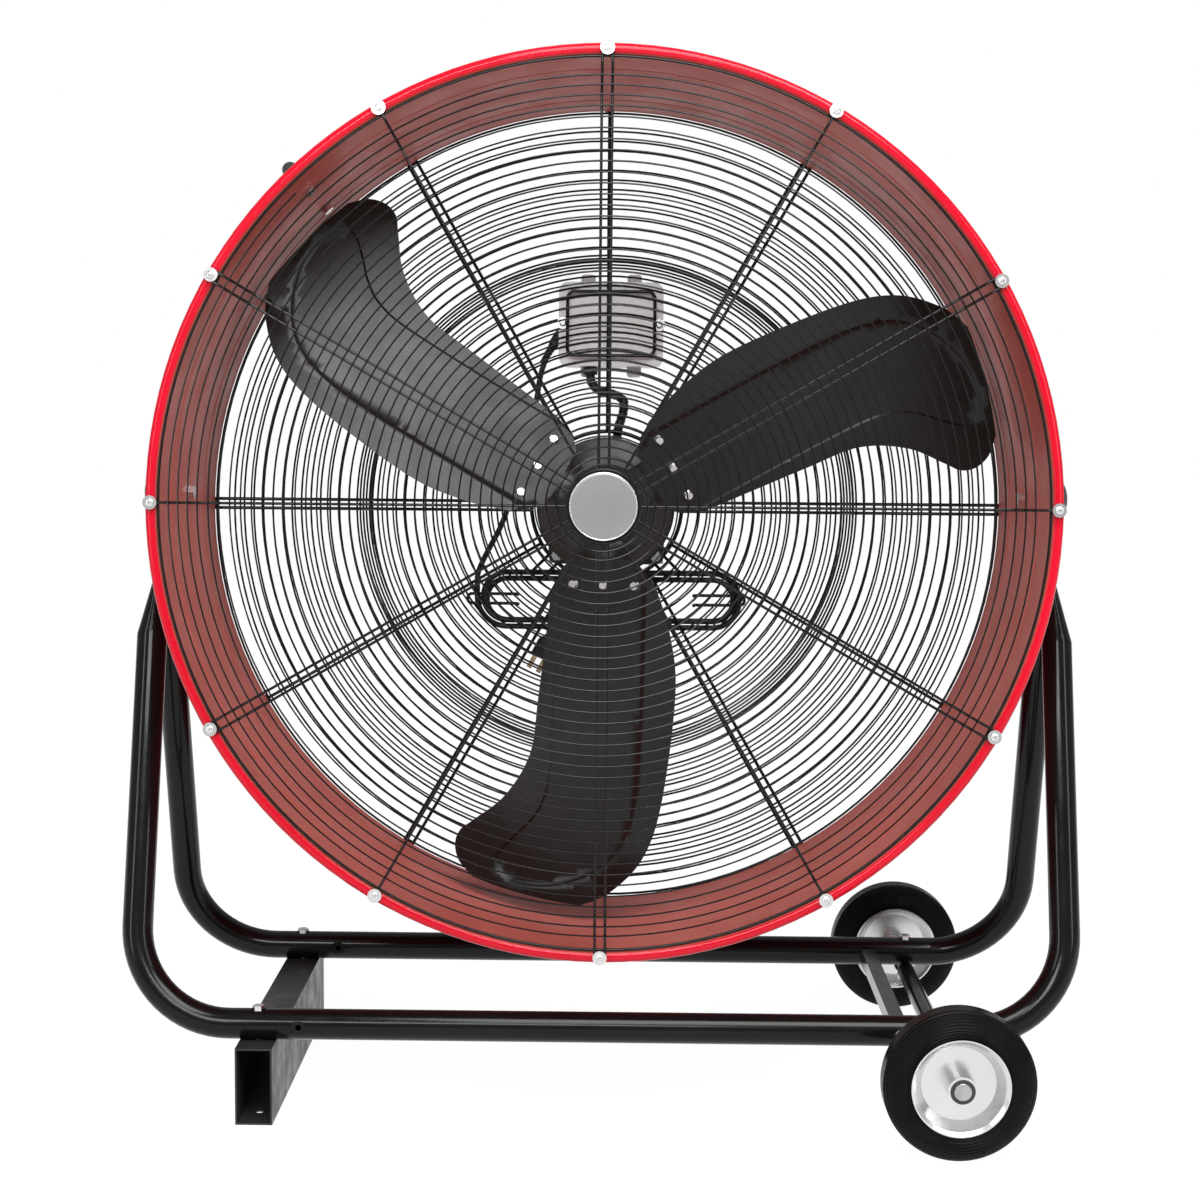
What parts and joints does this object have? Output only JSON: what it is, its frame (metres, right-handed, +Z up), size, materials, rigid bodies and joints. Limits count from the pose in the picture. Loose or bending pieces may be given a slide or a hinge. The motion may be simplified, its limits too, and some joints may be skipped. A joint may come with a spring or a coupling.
{
  "type": "tilting drum fan",
  "caption": "Large drum fan with a pressed steel drum between spiral and ring guards, tilting in two leaning tube frames with a foot bar and two transport wheels.",
  "frame": {"origin": "centre of the footprint on the floor, below the middle of the drum", "axes": "+Z up, -Y to the front that the air leaves by, +X to the right of someone who faces the front guard; the wheels are at +X"},
  "size_m": [1.0504, 0.634, 1.1572],
  "materials": {
    "tube_black": "gloss",
    "foot_black": "satin",
    "zinc": "bright",
    "axle_steel": "satin",
    "bush_plastic": "matte",
    "tyre_rubber": "matte",
    "drum_red": "gloss",
    "handle_black": "matte",
    "guard_black": "gloss",
    "badge_grey": "satin",
    "blade_black": "satin",
    "motor_grey": "satin",
    "core_iron": "matte",
    "box_silver": "satin",
    "capacitor_white": "matte",
    "cord_black": "satin",
    "plug_black": "satin",
    "pin_steel": "bright"
  },
  "bodies": {
    "stand": {"front_frame_tube": "tube_black", "rear_frame_tube": "tube_black", "foot_bar": "foot_black", "frame_bolts": "zinc", "brace_bar": "tube_black", "brace_screws": "zinc", "axle": "axle_steel", "axle_sleeves": "tube_black", "axle_caps": "axle_steel"},
    "front_wheel": {"front_wheel_tyre": "tyre_rubber", "front_wheel_rim": "zinc", "front_wheel_bushes": "bush_plastic"},
    "rear_wheel": {"rear_wheel_tyre": "tyre_rubber", "rear_wheel_rim": "zinc", "rear_wheel_bushes": "bush_plastic"},
    "drum": {"drum_shell": "drum_red", "drum_handle": "handle_black", "handle_screws": "zinc", "pivot_bolts": "zinc", "pivot_spacers": "tube_black", "front_guard_spokes": "guard_black", "front_guard_spiral": "guard_black", "front_guard_washers": "zinc", "front_guard_screws": "zinc", "front_guard_hub_plate": "guard_black", "badge": "badge_grey", "rear_guard_spokes": "guard_black", "rear_guard_rings": "guard_black", "rear_guard_washers": "zinc", "rear_guard_screws": "zinc", "motor_bearings": "axle_steel", "motor_housing": "motor_grey", "motor_stator": "core_iron", "motor_front_bell": "motor_grey", "motor_rear_bell": "motor_grey", "motor_bolts": "zinc", "junction_box": "box_silver", "box_cover": "box_silver", "box_screws": "zinc", "capacitor": "capacitor_white", "box_frame_wire": "guard_black", "cord_glands": "handle_black", "coil_hooks": "guard_black", "power_cord": "cord_black", "power_cord_coil": "cord_black", "power_cord_tail": "cord_black", "plug": "plug_black", "plug_pins": "pin_steel", "motor_lead": "cord_black"},
    "fan": {"fan_spider": "blade_black", "blade_1": "blade_black", "blade_2": "blade_black", "blade_3": "blade_black", "blade_rivets": "zinc", "motor_shaft": "axle_steel", "motor_rotor": "core_iron"},
    "dial": {"speed_dial": "handle_black"},
    "knob_left": {"left_knob": "handle_black"},
    "knob_right": {"right_knob": "handle_black"}
  },
  "joints": [
    {"name": "drum_tilt", "type": "hinge", "parent": "stand", "child": "drum", "pos_m": [0, 0, 0.67], "axis": [1, 0, 0], "range_deg": [-86.65, 93.35]},
    {"name": "fan_spin", "type": "hinge", "parent": "drum", "child": "fan", "pos_m": [0, -0.0007, 0.65802], "axis": [0, 0.9983, -0.0584], "continuous": true},
    {"name": "front_wheel_spin", "type": "hinge", "parent": "stand", "child": "front_wheel", "pos_m": [0.374, -0.2845, 0.08], "axis": [0, 1, 0], "continuous": true},
    {"name": "rear_wheel_spin", "type": "hinge", "parent": "stand", "child": "rear_wheel", "pos_m": [0.374, 0.2845, 0.08], "axis": [0, 1, 0], "continuous": true},
    {"name": "left_knob_turn", "type": "hinge", "parent": "drum", "child": "knob_left", "pos_m": [-0.51, 0, 0.67], "axis": [-1, 0, 0], "continuous": true},
    {"name": "right_knob_turn", "type": "hinge", "parent": "drum", "child": "knob_right", "pos_m": [0.51, 0, 0.67], "axis": [1, 0, 0], "continuous": true},
    {"name": "dial_turn", "type": "hinge", "parent": "drum", "child": "dial", "pos_m": [0.0035, 0.30204, 0.86719], "axis": [0, 0.9983, -0.0584], "range_deg": [-120, 0]}
  ]
}
